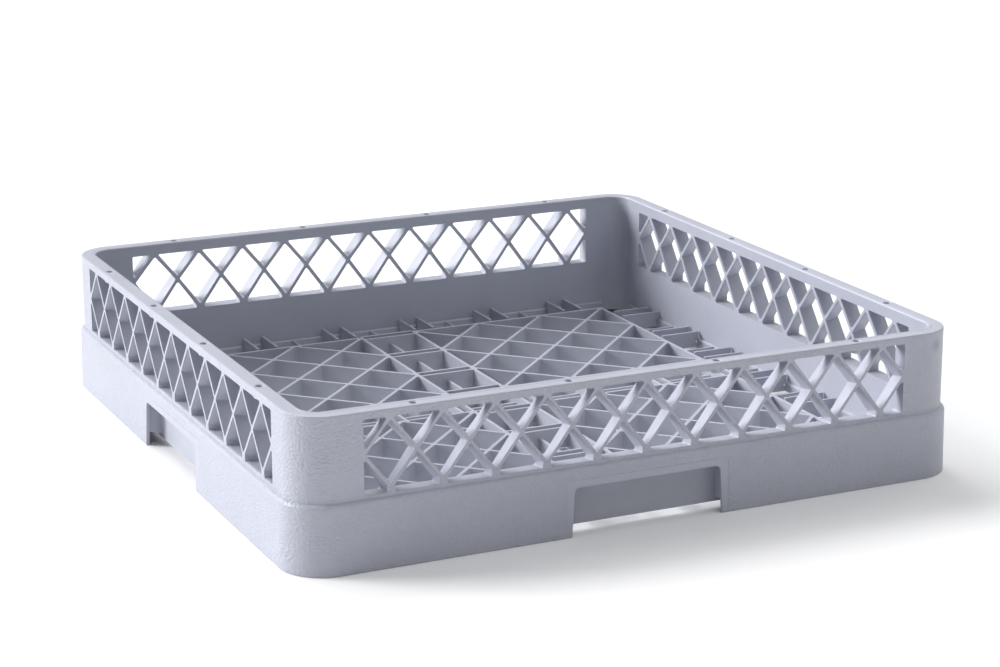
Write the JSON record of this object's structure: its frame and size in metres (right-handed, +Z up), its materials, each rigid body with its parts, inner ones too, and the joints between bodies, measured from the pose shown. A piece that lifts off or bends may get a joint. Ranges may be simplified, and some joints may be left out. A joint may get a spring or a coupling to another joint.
{
  "type": "dishwasher rack",
  "caption": "Open square rack for a commercial dishwasher: a lattice wall band with a peg-hole rim on a solid skirt with hand-holds, and an open ribbed floor.",
  "frame": {"origin": "middle of the footprint, on the surface the rack stands on", "axes": "+Z up, the shortest extent; the front side faces -Y and the right side +X; the rack repeats by quarter turns about +Z"},
  "size_m": [0.5, 0.5, 0.105],
  "materials": {
    "grained_plastic": "light bluish grey moulded polypropylene with a fine pebbled grain",
    "smooth_plastic": "light bluish grey moulded polypropylene, smooth satin",
    "floor_plastic": "light bluish grey moulded polypropylene, satin, slightly drawn up and down by the mould"
  },
  "bodies": {
    "root": {"channel_back": "floor_plastic", "channel_centre": "floor_plastic", "channel_front": "floor_plastic", "channel_left": "floor_plastic", "channel_right": "floor_plastic", "comb_back": "floor_plastic", "comb_front": "floor_plastic", "comb_left": "floor_plastic", "comb_right": "floor_plastic", "corner_post_back_left": "grained_plastic", "corner_post_back_right": "grained_plastic", "corner_post_front_left": "grained_plastic", "corner_post_front_right": "grained_plastic", "floor_grid_back_left": "floor_plastic", "floor_grid_back_right": "floor_plastic", "floor_grid_front_left": "floor_plastic", "floor_grid_front_right": "floor_plastic", "inner_wall_back": "smooth_plastic", "inner_wall_back_left": "smooth_plastic", "inner_wall_back_right": "smooth_plastic", "inner_wall_front": "smooth_plastic", "inner_wall_front_left": "smooth_plastic", "inner_wall_front_right": "smooth_plastic", "inner_wall_left": "smooth_plastic", "inner_wall_right": "smooth_plastic", "lattice_back": "smooth_plastic", "lattice_front": "smooth_plastic", "lattice_left": "smooth_plastic", "lattice_right": "smooth_plastic", "rim_back": "smooth_plastic", "rim_front": "smooth_plastic", "rim_left": "smooth_plastic", "rim_right": "smooth_plastic", "shelf_back": "grained_plastic", "shelf_back_left": "grained_plastic", "shelf_back_right": "grained_plastic", "shelf_front": "grained_plastic", "shelf_front_left": "grained_plastic", "shelf_front_right": "grained_plastic", "shelf_left": "grained_plastic", "shelf_right": "grained_plastic", "sill_back": "smooth_plastic", "sill_front": "smooth_plastic", "sill_left": "smooth_plastic", "sill_right": "smooth_plastic", "skirt_back": "grained_plastic", "skirt_back_left": "grained_plastic", "skirt_back_right": "grained_plastic", "skirt_front": "grained_plastic", "skirt_front_left": "grained_plastic", "skirt_front_right": "grained_plastic", "skirt_left": "grained_plastic", "skirt_right": "grained_plastic"}
  },
  "joints": []
}
